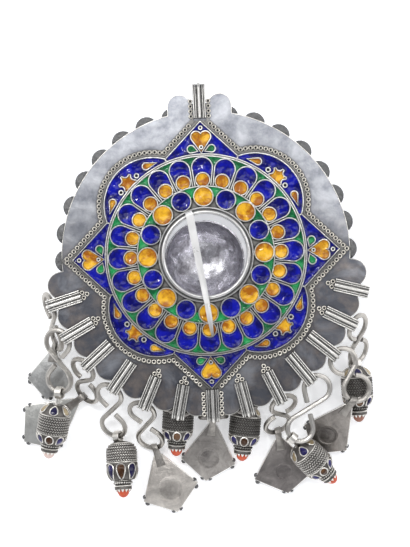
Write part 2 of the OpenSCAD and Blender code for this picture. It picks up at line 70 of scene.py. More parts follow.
def setUpStudio():
    scene = bpy.context.scene
    scene.view_settings.view_transform = "Standard"
    camera = bpy.data.cameras.new("camera")
    camera.sensor_fit = "VERTICAL"
    camera.angle = radians(studio["cameraField"])
    camera.clip_start = 0.01
    cameraObject = bpy.data.objects.new("camera", camera)
    cameraObject.location = Vector(studio["cameraOver"]) * 0.001
    cameraObject.rotation_euler = (0, 0, radians(studio["cameraRoll"]))
    scene.collection.objects.link(cameraObject)
    scene.camera = cameraObject
    for name, place, size, power in studio["lamps"]:
        light = bpy.data.lights.new(name, "AREA")
        light.size = size * 0.001
        light.energy = power
        lamp = bpy.data.objects.new(name, light)
        lamp.location = Vector(place) * 0.001
        lamp.rotation_euler = (-Vector(place)).to_track_quat("-Z", "Y").to_euler()
        scene.collection.objects.link(lamp)
    world = bpy.data.worlds.new("softRoom")
    world.use_nodes = True
    sky = Shading(world.node_tree, world.node_tree.nodes["Background"])
    around = sky.add("ShaderNodeTexCoord", output="Generated")
    height = sky.add("ShaderNodeSeparateXYZ", None, {"Vector": around}, "Z")
    stops = [(0, studio["horizon"]), (1, studio["zenith"])]
    sky.put("Color", sky.add("ShaderNodeValToRGB", {"stops": stops}, {"Fac": height}))
    sky.put("Strength", studio["worldStrength"])
    scene.world = world


# shader maths: sockets that add, multiply and so on
class Socket:
    def __init__(self, tree, socket):
        self.tree = tree
        self.socket = socket

    def work(self, operation, first, second, clamp=False):
        node = self.tree.nodes.new("ShaderNodeMath")
        node.operation = operation
        node.use_clamp = clamp
        for place, value in zip(node.inputs, (first, second)):
            if isinstance(value, Socket):
                self.tree.links.new(value.socket, place)
            else:
                place.default_value = value
        return Socket(self.tree, node.outputs[0])

    def __add__(self, other):
        return self.work("ADD", self, other)

    def __radd__(self, other):
        return self.work("ADD", other, self)

    def __sub__(self, other):
        return self.work("SUBTRACT", self, other)

    def __rsub__(self, other):
        return self.work("SUBTRACT", other, self)

    def __mul__(self, other):
        return self.work("MULTIPLY", self, other)

    def __rmul__(self, other):
        return self.work("MULTIPLY", other, self)

    def __truediv__(self, other):
        return self.work("DIVIDE", self, other)

    def __rtruediv__(self, other):
        return self.work("DIVIDE", other, self)

    def __pow__(self, other):
        return self.work("POWER", self, other)

    def __rpow__(self, other):
        return self.work("POWER", other, self)

    def held(self):  # kept between 0 and 1
        return self.work("ADD", self, 0.0, clamp=True)


# nodes of a material or of the world, made and joined in one way
class Shading:
    def __init__(self, tree, shader):
        self.tree = tree
        self.shader = shader

    def feed(self, socket, value):
        if isinstance(value, Socket):
            self.tree.links.new(value.socket, socket)
        elif isinstance(value, tuple) and len(socket.default_value) == 4:
            socket.default_value = (*value, 1)
        else:
            socket.default_value = value

    def add(self, kind, settings=None, inputs=None, output=0):
        node = self.tree.nodes.new(kind)
        for name, value in (settings or {}).items():
            if name == "stops":
                for element, (position, colour) in zip(node.color_ramp.elements, value):
                    element.position = position
                    element.color = (*colour, 1)
            else:
                setattr(node, name, value)
        for name, value in (inputs or {}).items():
            self.feed(node.inputs[name], value)
        return Socket(self.tree, node.outputs[output])

    def put(self, socketName, value):
        self.feed(self.shader.inputs[socketName], value)


class Finish(Shading):
    def __init__(self, name, settings):
        self.material = bpy.data.materials.new(name)
        self.material.use_nodes = True
        tree = self.material.node_tree
        super().__init__(tree, tree.nodes["Principled BSDF"])
        self.place = self.add("ShaderNodeTexCoord", output="Object")
        for socketName, value in settings.items():
            self.put(socketName, value)

    def cloud(self, size, detail=3, rough=0.5, warp=0.0):  # size is a patch's size in millimetres
        return self.add("ShaderNodeTexNoise", None, {
            "Vector": self.place, "Scale": 1000 / size, "Detail": detail, "Roughness": rough,
            "Distortion": warp})

    def mix(self, factor, first, second):
        return self.add("ShaderNodeMix", {"data_type": "RGBA"}, {0: factor, 6: first, 7: second}, 2)

    def ridge(self, value, low, high):  # 0 below low, 1 above high
        return ((value - low) / (high - low)).held()

    def open(self, reach):  # 1 in the open, less in hollows
        return self.add("ShaderNodeAmbientOcclusion", {"samples": 6}, {"Distance": reach * 0.001}, "AO")

    def axes(self):
        first = self.add("ShaderNodeSeparateXYZ", None, {"Vector": self.place})
        return [Socket(self.tree, out) * 1000 for out in first.socket.node.outputs]

    def relief(self, height, depth):  # depth in millimetres
        self.put("Normal", self.add("ShaderNodeBump", None, {
            "Height": height, "Distance": depth * 0.001, "Strength": 1.0}))


# hollows within reach darken, faster with a higher power; patch is the size of the tarnish
def silverFinish(name, bright, dark, roughness=0.34, reach=1.2, patch=14, patchiness=0.55, dents=0.05,
                 power=1.7):
    finish = Finish(name, {"Metallic": 1.0})
    clearness = finish.open(reach)
    clouds = finish.cloud(patch, 5, 0.6, 0.4)
    grain = finish.cloud(0.9, 4, 0.65)
    tone = (clearness ** power + (clouds - 0.5) * patchiness + (grain - 0.5) * 0.35).held()
    finish.put("Base Color", finish.mix(tone, dark, bright))
    finish.put("Roughness", (roughness + (1 - tone) * 0.22 + (grain - 0.5) * 0.16).held())
    finish.relief(finish.cloud(3.2, 4, 0.6) + grain * 0.25, dents * 4)
    return finish


def kiteFinish(name, bright, dark, middle, mark):  # a shallow round dish round the middle, made by bump and painted shade
    finish = Finish(name, {"Metallic": 1.0})
    x, y = finish.axes()[:2]
    away = ((x - middle.x) ** 2 + (y - middle.y) ** 2) ** 0.5
    clouds = finish.cloud(8, 5, 0.65, 0.6)
    grain = finish.cloud(1.0, 4, 0.7)
    tone = (finish.ridge(clouds, 0.3, 0.7) * 0.7 + grain * 0.5).held()
    # the dish's painted shade: darker inside the boss mark
    dish = finish.ridge(away, mark + 0.4, mark - 1.2) if mark else 0.0
    tone = (tone - dish * 0.22).held()
    colour = finish.mix(tone, dark, bright)
    colour = finish.mix((1 - finish.open(1.4)) * 0.7, colour, (0.03, 0.03, 0.03))
    finish.put("Base Color", colour)
    finish.put("Roughness", (0.46 + (grain - 0.5) * 0.2).held())
    finish.relief(clouds + grain * 0.35 - dish * 1.2, 0.35)
    return finish


def plateFinish():
    finish = Finish("plateSilver", {"Metallic": 1.0})
    y, z = finish.axes()[1:]
    clouds = finish.cloud(24, 5, 0.6, 0.6)
    patches = finish.cloud(11, 5, 0.65, 0.2)
    grain = finish.cloud(1.1, 4, 0.65)
    upper = finish.ridge(y + (clouds - 0.5) * 55, -14, 22)  # the brighter part above the lobes: painted sheen, with the lobes below painted darker as shade
    bright = finish.mix(finish.ridge(patches, 0.35, 0.65), (0.22, 0.23, 0.26), (0.50, 0.51, 0.54))
    # the lobes' tones: painted shade, with brownish tarnish patches of their own
    lobeShadeAndTarnish = finish.mix(finish.ridge(patches, 0.42, 0.7), (0.135, 0.14, 0.16), (0.29, 0.25, 0.225))
    lobeShadeAndTarnish = finish.mix(finish.ridge(clouds, 0.48, 0.66), lobeShadeAndTarnish, (0.36, 0.375, 0.41))
    tone = finish.mix(upper, lobeShadeAndTarnish, bright)
    tone = finish.mix(((1 - finish.open(4.5)) * 1.5).held() * 0.9, tone, (0.04, 0.04, 0.045))
    front = finish.ridge(z, 21.4, 21.2)  # the domes below the plate
    tone = finish.mix(front, tone, finish.mix(grain, (0.03, 0.03, 0.03), (0.12, 0.12, 0.12)))
    finish.put("Base Color", tone)
    finish.put("Roughness", (0.40 - upper * 0.07 + (grain - 0.5) * 0.2 + front * 0.15).held())
    finish.relief(patches * (1 - front) + grain * 0.06 + finish.cloud(0.9, 2) * front * 1.4, 0.12)
    return finish


def bowlFinish():
    finish = Finish("bowlSilver", {"Metallic": 1.0})
    clouds = finish.cloud(10, 4, 0.6, 0.8)
    dents = finish.add("ShaderNodeTexVoronoi", {"feature": "SMOOTH_F1"}, {
        "Vector": finish.place, "Scale": 210, "Smoothness": 0.8})
    spots = finish.cloud(2.4, 4, 0.7)
    tone = finish.ridge(clouds + (spots - 0.5) * 0.5, 0.33, 0.58)
    colour = finish.mix(tone, (0.28, 0.27, 0.29), (0.80, 0.79, 0.84))
    # painted shade: the bowl darkens where other parts come close, such as the ring round it
    finish.put("Base Color", finish.mix((1 - finish.open(3.0)) * 0.9, colour, (0.03, 0.027, 0.027)))
    finish.put("Roughness", (0.23 + (1 - tone) * 0.2).held())
    finish.relief(dents * 0.7 + spots * 0.25, 0.7)
    return finish


def enamelFinish(name, deep, light, pale):
    finish = Finish(name, {"Specular IOR Level": 0.3})
    clouds = finish.cloud(6.5, 4, 0.6, 0.5)
    streaks = finish.cloud(2.6, 3, 0.6, 1.4)
    specks = finish.add("ShaderNodeTexVoronoi", None, {"Vector": finish.place, "Scale": 700})
    tone = finish.mix(finish.ridge(clouds, 0.42, 0.6), deep, light)
    tone = finish.mix(finish.ridge(streaks, 0.62, 0.76) * 0.3, tone, pale)
    tone = finish.mix((1 - finish.ridge(specks, 0.06, 0.14)) * 0.5, tone, (0.02, 0.02, 0.02))
    # painted shade: each cell's glass darkens towards its wires
    tone = finish.mix((1 - finish.ridge(finish.open(1.3), 0.35, 0.9)) * 0.85, tone, (0.012, 0.010, 0.016))
    finish.put("Base Color", tone)
    finish.put("Roughness", (0.07 + (streaks - 0.5) * 0.08).held())
    finish.relief(finish.cloud(3.4, 1, 0.4), 1.0)
    return finish


def pinFinish():
    finish = Finish("pinSilver", {"Metallic": 0.5})
    y = finish.axes()[1]
    clouds = finish.cloud(7, 3, 0.5)
    colour = finish.mix(clouds, (0.74, 0.73, 0.72), (0.95, 0.94, 0.93))
    finish.put("Base Color", finish.mix(finish.ridge(y, -31, -41) * 0.8, colour, (0.16, 0.145, 0.13)))
    finish.put("Roughness", (0.3 + (clouds - 0.5) * 0.2).held())
    return finish


# dark discs in the rings' holes: painted shade
def holeShadeFinish():
    finish = Finish("paintedHoleShade", {"Metallic": 0.6, "Roughness": 0.7})
    finish.put("Base Color", finish.mix(finish.cloud(1.2), (0.012, 0.012, 0.016), (0.035, 0.033, 0.035)))
    return finish


def coralFinish(name, deep, light):
    finish = Finish(name, {"Specular IOR Level": 0.4})
    clouds = finish.cloud(3, 4, 0.6)
    finish.put("Base Color", finish.mix(clouds, deep, light))
    finish.put("Roughness", (0.3 + (clouds - 0.5) * 0.2).held())
    finish.relief(clouds, 0.2)
    return finish


def floorFinish():
    finish = Finish("floor", {"Roughness": 0.9, "Emission Strength": studio["floorGlow"]})
    finish.put("Base Color", studio["floorTone"])
    finish.put("Emission Color", studio["floorTone"])
    return finish


finishes = {
    "plate": plateFinish(),
    "bowl": bowlFinish(),
    "frame": silverFinish("frameSilver", (0.22, 0.215, 0.205), (0.02, 0.02, 0.02), 0.42, 1.3),
    "wire": silverFinish("wireSilver", (0.90, 0.89, 0.86), (0.16, 0.155, 0.145), 0.3, 0.7, 12, 0.4),
    "rings": silverFinish("ringRowSilver", (0.76, 0.72, 0.64), (0.04, 0.038, 0.035), 0.34, 0.7, 9, 0.6),
    "holeShade": holeShadeFinish(),
    "knob": silverFinish("knobSilver", (0.17, 0.17, 0.17), (0.02, 0.02, 0.02), 0.45, 1.5, 2.2, 1.6, 0.3),
    "pin": pinFinish(),
    "bail": silverFinish("bailSilver", (0.82, 0.80, 0.76), (0.02, 0.02, 0.02), 0.3, 1.3, 9, 0.6, 0.05, 5.0),
    "topBail": silverFinish(
        "topBailSilver", (0.52, 0.51, 0.49), (0.02, 0.02, 0.02), 0.36, 1.3, 6, 0.8, 0.05, 5.0),
    "ring": silverFinish("ringSilver", (0.66, 0.65, 0.64), (0.09, 0.09, 0.09), 0.3, 1.8, 16, 0.8),
    "hook": silverFinish("hookSilver", (0.50, 0.475, 0.44), (0.06, 0.055, 0.05), 0.36, 2.6, 9, 0.9, 0.1),
    "paleHook": silverFinish(
        "paleHookSilver", (0.52, 0.50, 0.47), (0.10, 0.09, 0.085), 0.34, 2.2, 10, 0.7, 0.1),
    "bead": silverFinish("beadSilver", (0.66, 0.635, 0.60), (0.035, 0.032, 0.03), 0.4, 1.0, 5, 0.6),
    "beadTrim": silverFinish("beadTrimSilver", (0.80, 0.77, 0.72), (0.10, 0.09, 0.08), 0.32, 0.8, 5, 0.4),
    "beadGround": silverFinish(
        "beadGroundSilver", (0.16, 0.15, 0.14), (0.02, 0.018, 0.016), 0.45, 1.2, 4, 0.6),
    "strap": silverFinish("strapSilver", (0.36, 0.34, 0.315), (0.05, 0.045, 0.04), 0.42, 2.0, 5, 1.0, 0.12),
    "worn": silverFinish("wornEdgeSilver", (0.86, 0.84, 0.80), (0.22, 0.21, 0.20), 0.34, 0.6, 4, 0.8),
    "darkBead": silverFinish(
        "darkBeadSilver", (0.26, 0.25, 0.235), (0.02, 0.018, 0.016), 0.42, 1.0, 5, 0.7),
    "link": silverFinish("linkSilver", (0.35, 0.33, 0.31), (0.07, 0.065, 0.06), 0.4, 2.0),
    "blue": enamelFinish("blueEnamel", (0.003, 0.003, 0.11), (0.006, 0.009, 0.36), (0.05, 0.08, 0.70)),
    "green": enamelFinish("greenEnamel", (0.004, 0.11, 0.035), (0.02, 0.34, 0.10), (0.14, 0.50, 0.20)),
    "amber": enamelFinish("amberEnamel", (0.38, 0.12, 0.008), (0.86, 0.48, 0.03), (0.95, 0.72, 0.26)),
    "violet": enamelFinish("violetCells", (0.012, 0.010, 0.05), (0.035, 0.03, 0.15), (0.3, 0.32, 0.5)),
    "brown": enamelFinish("brownCells", (0.05, 0.022, 0.010), (0.15, 0.075, 0.035), (0.5, 0.35, 0.2)),
    "ivory": enamelFinish("paleCells", (0.26, 0.20, 0.11), (0.50, 0.41, 0.27), (0.8, 0.75, 0.65)),
    "coral": coralFinish("coral", (0.50, 0.055, 0.02), (0.76, 0.15, 0.06)),
    "brownCoral": coralFinish("brownCoral", (0.24, 0.09, 0.06), (0.42, 0.20, 0.14)),
    "pinkCoral": coralFinish("pinkCoral", (0.72, 0.52, 0.46), (0.86, 0.70, 0.64)),
}
print("finishes:", len(finishes))


# making pieces
def makePiece(name, bm, finishNames, body="brooch", sharp=40):
    bm.transform(toMetres)
    mesh = bpy.data.meshes.new(name)
    bm.to_mesh(mesh)
    bm.free()
    for finishName in finishNames:
        mesh.materials.append(finishes[finishName].material)
    mesh.shade_smooth()
    mesh.set_sharp_from_angle(angle=radians(sharp))
    piece = bpy.data.objects.new(name, mesh)
    bpy.context.scene.collection.objects.link(piece)
    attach(piece, body)
    return piece


def dress(nodeName, finishName):  # the finish of a node that keeps its own shape
    nodes[nodeName].data.materials.clear()
    nodes[nodeName].data.materials.append(finishes[finishName].material)


def nodeShape(nodeName):  # in millimetres
    bm = bmesh.new()
    bm.from_mesh(nodes[nodeName].data)
    bm.transform(toMillimetres)
    bmesh.ops.remove_doubles(bm, verts=bm.verts, dist=0.002)
    return bm


def sharpEdges(bm):
    return [e for e in bm.edges if len(e.link_faces) == 2 and e.calc_face_angle() > radians(50)]


def rounded(bm, edges, width, segments=2):
    return bmesh.ops.bevel(bm, geom=edges, offset=width, offset_type="OFFSET", affect="EDGES",
                           segments=segments, profile=0.5, material=-1, clamp_overlap=True)


def take(bm, part, finish=0, move=None):  # puts a part into a piece, its finishes counted from this one
    if move:
        part.transform(move)
    for face in part.faces:
        face.material_index += finish
    mesh = bpy.data.meshes.new("part")
    part.to_mesh(mesh)
    part.free()
    bm.from_mesh(mesh)
    bpy.data.meshes.remove(mesh)


def scatter(bm, part, moves, finish=0):  # puts many copies of a small part into a piece
    for face in part.faces:
        face.material_index = finish
    mesh = bpy.data.meshes.new("part")
    part.to_mesh(mesh)
    part.free()
    for move in moves:
        first = len(bm.verts)
        bm.from_mesh(mesh)
        bm.verts.ensure_lookup_table()
        bmesh.ops.transform(bm, matrix=move, verts=bm.verts[first:])
    bpy.data.meshes.remove(mesh)


def spun(profile, steps, closed=False):  # profile is (radius, height), turned about Z
    bm = bmesh.new()
    verts = [bm.verts.new((r, 0, h)) for r, h in profile]
    pairs = list(zip(verts, verts[1:])) + ([(verts[-1], verts[0])] if closed else [])
    edges = [bm.edges.new(pair) for pair in pairs]
    bmesh.ops.spin(bm, geom=verts + edges, cent=(0, 0, 0), axis=(0, 0, 1), angle=2 * pi, steps=steps,
                   use_merge=True, use_duplicate=False)
    bmesh.ops.remove_doubles(bm, verts=bm.verts, dist=0.001)
    bmesh.ops.recalc_face_normals(bm, faces=bm.faces)
    return bm


def wireRing(radius, wire, steps=16, sides=8, height=0.0):
    turn = [2 * pi * (i + 0.5) / sides for i in range(sides)]
    return spun([(radius + wire * cos(a), height + wire * sin(a)) for a in turn], steps, closed=True)


def wires(lines, radius, roundness=1):  # lines are (points, closed)
    curve = bpy.data.curves.new("wires", "CURVE")
    curve.dimensions = "3D"
    curve.bevel_depth = radius
    curve.bevel_resolution = roundness
    curve.use_fill_caps = True
    for points, closed in lines:
        spline = curve.splines.new("POLY")
        spline.points.add(len(points) - 1)
        for target, point in zip(spline.points, points):
            target.co = (*point, 1)
        spline.use_cyclic_u = closed
    holder = bpy.data.objects.new("wires", curve)
    bpy.context.scene.collection.objects.link(holder)
    mesh = bpy.data.meshes.new_from_object(holder.evaluated_get(bpy.context.evaluated_depsgraph_get()))
    bm = bmesh.new()
    bm.from_mesh(mesh)
    bpy.data.objects.remove(holder)
    bpy.data.curves.remove(curve)
    bpy.data.meshes.remove(mesh)
    return bm


def turned(points, turnBy):
    c, s = cos(radians(turnBy)), sin(radians(turnBy))
    return [(x * c - y * s, x * s + y * c) for x, y in points]


def arc(centre, radius, start, end, count):
    angles = [radians(start + (end - start) * i / count) for i in range(count + 1)]
    return [(centre[0] + radius * cos(a), centre[1] + radius * sin(a)) for a in angles]


def atHeight(points, z):
    return [(x, y, z) for x, y in points]


def evenly(points, spacing):  # equal steps along a closed outline
    loop = [Vector(p) for p in points] + [Vector(points[0])]
    lengths = [(b - a).length for a, b in zip(loop, loop[1:])]
    count = round(sum(lengths) / spacing)
    step = sum(lengths) / count
    found, along, k = [], 0.0, 0
    for i in range(count):
        while along + lengths[k] < i * step:
            along += lengths[k]
            k += 1
        found.append(loop[k].lerp(loop[k + 1], (i * step - along) / lengths[k]))
    return found


# plate
plate = {
    "radius": 72, "back": 22.7, "front": 21.5, "lobes": 14, "pitch": 12.4, "lobeReach": 80.7,
    "lobeHalf": 6.6, "ear": (10.15, 74.6, 5.8), "edgeWire": 0.3, "edgeSink": 0.15,
    "knobs": 17, "knobPitch": 11.25, "knobAt": 70, "knobRadius": 5.75, "knobFlat": 0.2,
}


def plateOutline():
    r, half, end = plate["radius"], plate["lobeHalf"], plate["lobeReach"] - plate["lobeHalf"]
    foot = sqrt(r * r - half * half)
    points = []
    for i in range(plate["lobes"]):
        turn = -90 + plate["pitch"] * (i - (plate["lobes"] - 1) / 2)
        points += turned([(foot, -half)] + arc((end, 0), half, -90, 90, 14) + [(foot, half)], turn)
    earX, earY, earR = plate["ear"]
    side = earX + earR
    rise = 90 - degrees(asin(side / r))
    first = -90 + plate["pitch"] * (plate["lobes"] - 1) / 2 + degrees(asin(half / r))
    points += arc((0, 0), r, first + 1, rise, 60)
    points += arc((earX, earY), earR, 0, 170, 14) + arc((-earX, earY), earR, 10, 180, 14)
    points += arc((0, 0), r, 180 - rise, 180 - first - 1, 60)
    return points


def makePlate():
    dress("back_plate", "plate")
    rim = atHeight(plateOutline(), plate["back"] - plate["edgeSink"])
    makePiece("plateEdge", wires([(rim, True)], plate["edgeWire"]), ["bail"])
    knobs = bmesh.new()
    for k in range(plate["knobs"]):
        place = Matrix.Rotation(radians(plate["knobPitch"] * (k - (plate["knobs"] - 1) / 2)), 4, "Z")
        place = place @ Matrix.Translation((0, plate["knobAt"], plate["front"]))
        flat = Matrix.Diagonal((1, 1, plate["knobFlat"], 1))
        take(knobs, ballPart(plate["knobRadius"]), 0, place @ flat)
    makePiece("rimKnobs", knobs, ["knob"])


# star plaque: border rings and partition wires
star = {
    "pointReach": 66.5, "lobeRadius": 24, "lobeAt": 36.2, "wire": 0.33, "wireZ": 25.18,
    "ringOut": 2.75, "ringPitch": 2.55, "ringRadius": 0.88, "ringWire": 0.3, "trayZ": 23.3,
    "ringShadeDisc": (0.75, 0.3), "ringLean": 0.12, "rowGap": (4.3, 60),
    "midWire": 34.2, "bigWire": 49.7, "bigGap": 0.5, "rounds": 16, "roundAt": 29.1, "roundRadius": 4.85,
    "petals": 24, "petalAt": 43.55, "petalRadius": 5.2, "petalFoot": (34.4, 3.93),
    "dotAt": 37.4, "dotRadius": 3.6, "dotOpen": 154, "heart": (58.9, 2.3, 2.75, 50.7),
    "valley": (20.5, 52),
    # drops: centre in the point's or lobe's own frame, turn, radius, reach
    "sideDrop": ((52.8, 5.1), -110, 1.9, 3.6), "endDrop": ((51.8, 12.2), 119, 1.75, 5.7),
    # flower: centre, reach of its tips, centre and radius of the scallops between them
    "flower": (52.8, 4.4, 4.75, 1.8),
    # small rings on the enamel: centre, radius, once for a point and once for a lobe
    "pointRings": [(63.3, 0, 0.85), (53.6, 0, 0.8)],
    "lobeRings": [(52.1, 5.7, 1.05), (52.1, -5.7, 1.05)], "smallSink": 0.1, "smallShadeDisc": (-0.9, -0.35),
}


def starOutline(out, count=26):
    u = star["pointReach"] / sqrt(2) + out
    reach = star["lobeRadius"] + out
    v = sqrt(reach ** 2 - (u - star["lobeAt"]) ** 2)
    half = degrees(atan2(v, u - star["lobeAt"]))
    points = []
    for quarter in range(4):
        points += turned([(u, -u)] + arc((star["lobeAt"], 0), reach, -half, half, count), 45 + 90 * quarter)
    return points


def dropOutline(radius, reach):
    half = degrees(acos(radius / reach))
    return [(reach, 0)] + arc((0, 0), radius, half, 360 - half, 14)


def moved(points, offset):
    return [(x + offset[0], y + offset[1]) for x, y in points]


def heartOutline():
    at, side, radius, tip = star["heart"]
    run = at - tip
    notch = degrees(asin(-side / radius))
    flank = degrees(pi + atan2(side, run) - acos(radius / hypot(run, side)))
    lobe = arc((at, side), radius, notch, flank, 14)
    return [(tip, 0)] + [(x, -y) for x, y in reversed(lobe)] + lobe[1:]


def flowerOutline():  # a star with scooped sides, open where the circle cuts it
    at, tips, scallopAt, scallop = star["flower"]
    points = []
    for degree in range(-155, 156, 5):
        reach = tips
        for turn in (-90, -30, 30, 90):
            off = radians(degree - turn)
            inside = scallop ** 2 - (scallopAt * sin(off)) ** 2
            if inside > 0 and cos(off) > 0:
                reach = min(reach, scallopAt * cos(off) - sqrt(inside))
        point = (at + reach * cos(radians(degree)), reach * sin(radians(degree)))
        if hypot(*point) > star["bigWire"]:
            points.append(point)
    return points


def dropOn(row, side):  # one of a pair of drops
    (x, y), turnBy, radius, reach = row
    return moved(turned(dropOutline(radius, reach), side * turnBy), (x, side * y))


def cellLines():
    z = star["wireZ"]
    lines = [(starOutline(0), True), (arc((0, 0), star["midWire"], 0, 357, 119), True)]
    lines += [(arc((0, 0), star["bigWire"] + s * star["bigGap"], 0, 357, 119), True) for s in (-1, 1)]
    for i in range(star["rounds"]):
        lines.append((turned(arc((star["roundAt"], 0), star["roundRadius"], 0, 345, 23), 22.5 * i), True))
    footX, footHalf = star["petalFoot"]
    petal = [(footX, footHalf)] + arc((star["petalAt"], 0), star["petalRadius"], 90, -90, 16)
    petal.append((footX, -footHalf))
    dot = arc((star["dotAt"], 0), star["dotRadius"], -star["dotOpen"], star["dotOpen"], 18)
    for i in range(star["petals"]):
        lines += [(turned(petal, 15 * i), False), (turned(dot, 15 * i), False)]
    valleyTurn, valleyReach = star["valley"]
    valley = [(star["bigWire"], 0), (valleyReach, 0)]
    for turnBy in range(0, 360, 90):
        lines.append((turned(heartOutline(), turnBy), True))
        lines.append((turned(flowerOutline(), 45 + turnBy), False))
        for s in (-1, 1):
            lines.append((turned(dropOn(star["sideDrop"], s), turnBy), True))
            lines.append((turned(dropOn(star["endDrop"], s), 45 + turnBy), True))
            lines.append((turned(valley, turnBy + s * valleyTurn), False))
    return [(atHeight(points, z), closed) for points, closed in lines]


def tinyRings(bm, moves):  # a row of small rings, each round a dark disc of painted shade
    scatter(bm, wireRing(star["ringRadius"], star["ringWire"], 14, 6), moves)
    holeShade = bmesh.new()
    radius, depth = star["ringShadeDisc"]
    bmesh.ops.create_cone(holeShade, cap_ends=True, segments=12, radius1=radius, radius2=radius, depth=depth)
    scatter(bm, holeShade, moves, 1)


def makeStar():
    dress("star_frame", "frame")
    makePiece("partitionWires", wires(cellLines(), star["wire"]), ["wire"])
    row = bmesh.new()
    gapHalf, gapFrom = star["rowGap"]  # the bails at both ends of the plate interrupt the row
    places = [p for p in evenly(starOutline(star["ringOut"]), star["ringPitch"])
              if not (abs(p.x) < gapHalf and abs(p.y) > gapFrom)]
    z = star["trayZ"] + star["ringWire"] * 0.8
    moves = []
    for p in places:
        lean = random.uniform(-star["ringLean"], star["ringLean"])
        moves.append(Matrix.Translation((p.x, p.y, z)) @ Matrix.Rotation(lean, 4, "X"))
    tinyRings(row, moves)
    makePiece("borderRings", row, ["rings", "holeShade"])
    small = bmesh.new()
    z = star["wireZ"] - star["smallSink"]
    low, high = star["smallShadeDisc"]
    for first, rings in ((0, star["pointRings"]), (45, star["lobeRings"])):
        for x, y, radius in rings:
            for turnBy in range(first, first + 360, 90):
                spot = Matrix.Rotation(radians(turnBy), 4, "Z") @ Matrix.Translation((x, y, z))
                take(small, wireRing(radius, star["wire"], 20, 8), 0, spot)
                # a dark disc of painted shade inside each small ring
                take(small, spun([(0, low), (radius, low), (radius, high), (0, high)], 20), 1, spot)
    makePiece("cellRings", small, ["wire", "holeShade"])
    print("border rings:", len(places))


# enamel: each cell's glass sinks away from its wires
pool = {"rise": 0.1, "sink": 0.85, "shore": 1.1, "waves": 0.12, "waveScale": 0.35, "step": 0.85}


def poolEnamel(nodeName, finishName):
    bm = nodeShape(nodeName)
    top = max(v.co.z for v in bm.verts)

    def isTop(item):
        return all(abs(v.co.z - top) < 0.01 for v in item.verts)

    def topEdges():
        return [e for e in bm.edges if isTop(e)]

    def topFaces():
        return [f for f in bm.faces if isTop(f)]

    bmesh.ops.dissolve_limit(bm, angle_limit=radians(1), verts=bm.verts, edges=topEdges())
    for _ in range(5):
        bmesh.ops.triangulate(bm, faces=topFaces(), quad_method="BEAUTY")
        inner = [e for e in topEdges() if not e.is_boundary]
        bmesh.ops.beautify_fill(bm, faces=topFaces(), edges=inner)
        long = [e for e in topEdges() if e.calc_length() > pool["step"]]
        if not long:
            break
        bmesh.ops.subdivide_edges(bm, edges=long, cuts=1)
    bmesh.ops.triangulate(bm, faces=topFaces())
    shore = {v for e in topEdges() if any(not isTop(f) for f in e.link_faces) for v in e.verts}
    samples = [v.co.copy() for v in shore]
    samples += [(e.verts[0].co + e.verts[1].co) / 2 for e in bm.edges
                if e.verts[0] in shore and e.verts[1] in shore]
    tree = kdtree.KDTree(len(samples))
    for i, point in enumerate(samples):
        tree.insert(point, i)
    tree.balance()
    for v in [v for v in bm.verts if abs(v.co.z - top) < 0.01]:
        away = 0.0 if v in shore else tree.find(v.co)[2]
        depth = 1 - exp(-away / pool["shore"])
        wave = noise.noise(v.co * pool["waveScale"]) * pool["waves"]
        v.co.z += pool["rise"] - pool["sink"] * depth + wave * depth
    bmesh.ops.recalc_face_normals(bm, faces=bm.faces)
    piece = makePiece(nodeName + "_glass", bm, [finishName], sharp=50)
    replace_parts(piece, nodeName)


# bails
bails = {
    # where each bail starts, from the middle, and which ones have a trefoil of rings before it
    "starts": [66, 66, 65.2, 65.2, 66, 66, 67.4, 66, 66, 65.2, 65.2, 66, 66],
    "trefoils": [1, 2, 5, 6, 8, 9, 12, 13],
    # rings of a trefoil: distance before the bail's start, place across
    "trefoil": [(1.2, -1.3), (1.2, 1.3), (3.35, 0)],
    # rows of rings beside the bails on the middle line: first y, step, count
    "rowSide": 4.45, "sideRows": [(-69.6, -2.5, 5), (69.4, 2.5, 4)],
}


def makeBails():
    dress("top_bail", "topBail")
    for name in nodes:
        if name.startswith("bail_"):
            dress(name, "bail")
    trim = bmesh.new()
    z = plate["back"] + star["ringWire"] * 0.8
    moves = []
    for number in bails["trefoils"]:
        start = bails["starts"][number - 1]
        spin = Matrix.Rotation(radians(-90 + plate["pitch"] * (number - 7)), 4, "Z")
        for before, y in bails["trefoil"]:
            moves.append(spin @ Matrix.Translation((start - before, y, z)))
    for s in (-1, 1):
        for first, step, count in bails["sideRows"]:
            for k in range(count):
                moves.append(Matrix.Translation((s * bails["rowSide"], first + step * k, z)))
    tinyRings(trim, moves)
    makePiece("bailRings", trim, ["rings", "holeShade"])


# hooks and links
hooks = {
    "loop": 6.5, "wire": 1.3, "wireBack": 0.42, "fold": 81.1, "eyeZ": 20.8, "stubGap": 0.4,
    # number: step, dip, turn, distance between loops, mirrored
    "table": {
        1: (-6, 66, 71, 17, 0), 2: (-5, 22, 58, 19.5, 1), 3: (-4, 49, 40, 15, 0), 4: (-3, 36, 33, 19.5, 0),
        5: (-2, 40, 29, 19, 0), 6: (-1, 150, 0, 0, 0), 7: (0, 80, 0, 0, 0), 8: (1, 150, 0, 0, 0),
        9: (2, 46.5, -30, 14.5, 1), 10: (3, 4, -62, 22, 0), 11: (4, 5, -25, 15.5, 0),
        12: (5, 50, -45, 15.5, 0),
    },
}


def hookPlace(number):  # from a hook's own plane to the brooch
    step, dip, turn, span, mirrored = hooks["table"][number]
    place = Matrix.Rotation(radians(-90 + plate["pitch"] * step), 4, "Z")
    place = place @ Matrix.Translation((hooks["fold"], 0, hooks["eyeZ"]))
    place = place @ Matrix.Rotation(radians(dip), 4, "Y")
    place = place @ Matrix.Translation((hooks["loop"] - hooks["wireBack"], 0, 0))
    place = place @ Matrix.Rotation(radians(turn), 4, "Z")
    return place @ Matrix.Diagonal((1, -1 if mirrored else 1, 1, 1))


